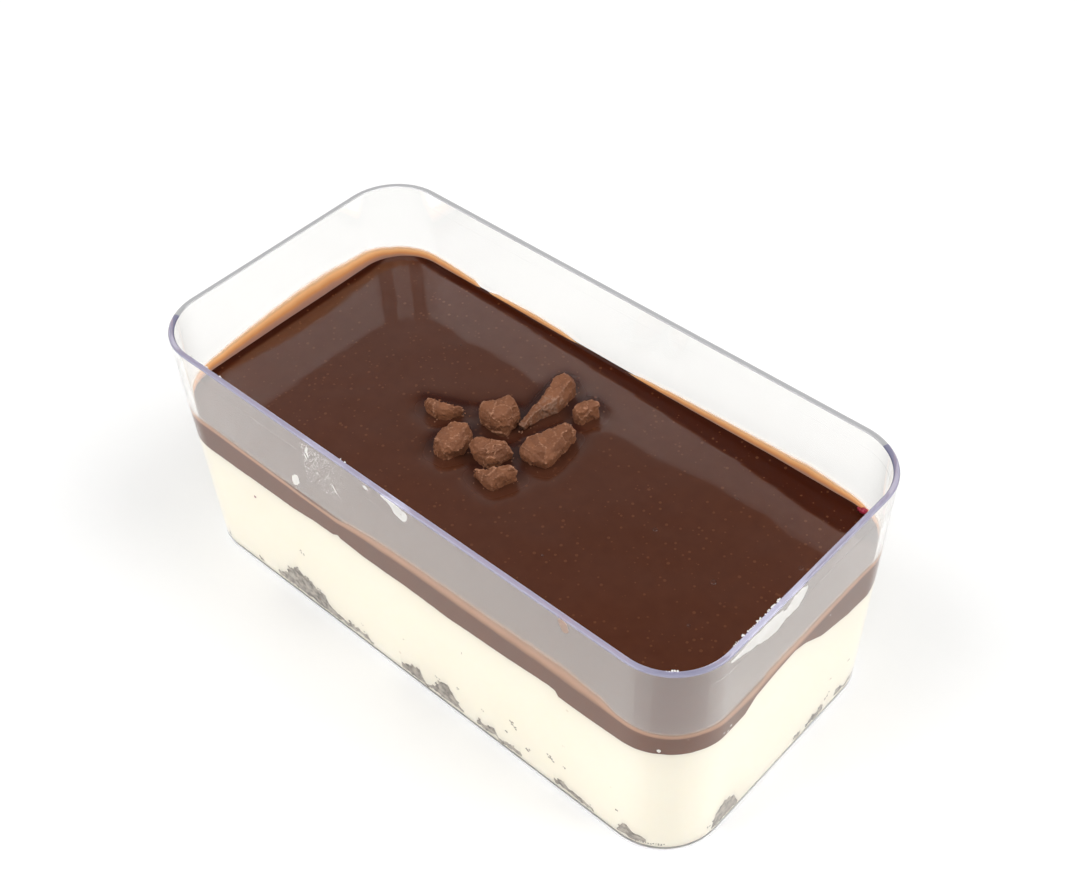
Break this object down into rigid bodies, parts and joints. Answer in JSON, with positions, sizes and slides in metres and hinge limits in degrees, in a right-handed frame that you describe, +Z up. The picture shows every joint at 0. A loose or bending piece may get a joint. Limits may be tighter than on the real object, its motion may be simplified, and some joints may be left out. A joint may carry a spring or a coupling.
{
  "type": "layered chocolate mousse dessert in a clear box",
  "caption": "Rectangular clear plastic box filled with a crumb base, thick white cream and poured chocolate ganache, with broken chocolate pieces on top.",
  "frame": {"origin": "middle of the box's underside, on the surface it stands on", "axes": "+X along the length of the box, +Y across it, +Z up"},
  "size_m": [0.127, 0.0646, 0.0532],
  "materials": {
    "clear_plastic": "clear, glossy moulded polystyrene with a faint violet edge",
    "biscuit_crumb": "matt dark cocoa biscuit crumb, stands in for food",
    "cream": "smooth satin warm white cream, stands in for food",
    "ganache": "glossy dark brown poured chocolate, stands in for food",
    "milk_chocolate": "dull broken milk chocolate, stands in for food"
  },
  "bodies": {
    "root": {"clear_box": "clear_plastic", "crumb_base": "biscuit_crumb", "cream_layer": "cream", "ganache_layer": "ganache", "chocolate_flake": "milk_chocolate", "chocolate_lump": "milk_chocolate", "chocolate_stick": "milk_chocolate", "chocolate_bit": "milk_chocolate", "chocolate_wedge": "milk_chocolate", "chocolate_rock": "milk_chocolate", "chocolate_nugget": "milk_chocolate", "chocolate_shard": "milk_chocolate"}
  },
  "joints": []
}
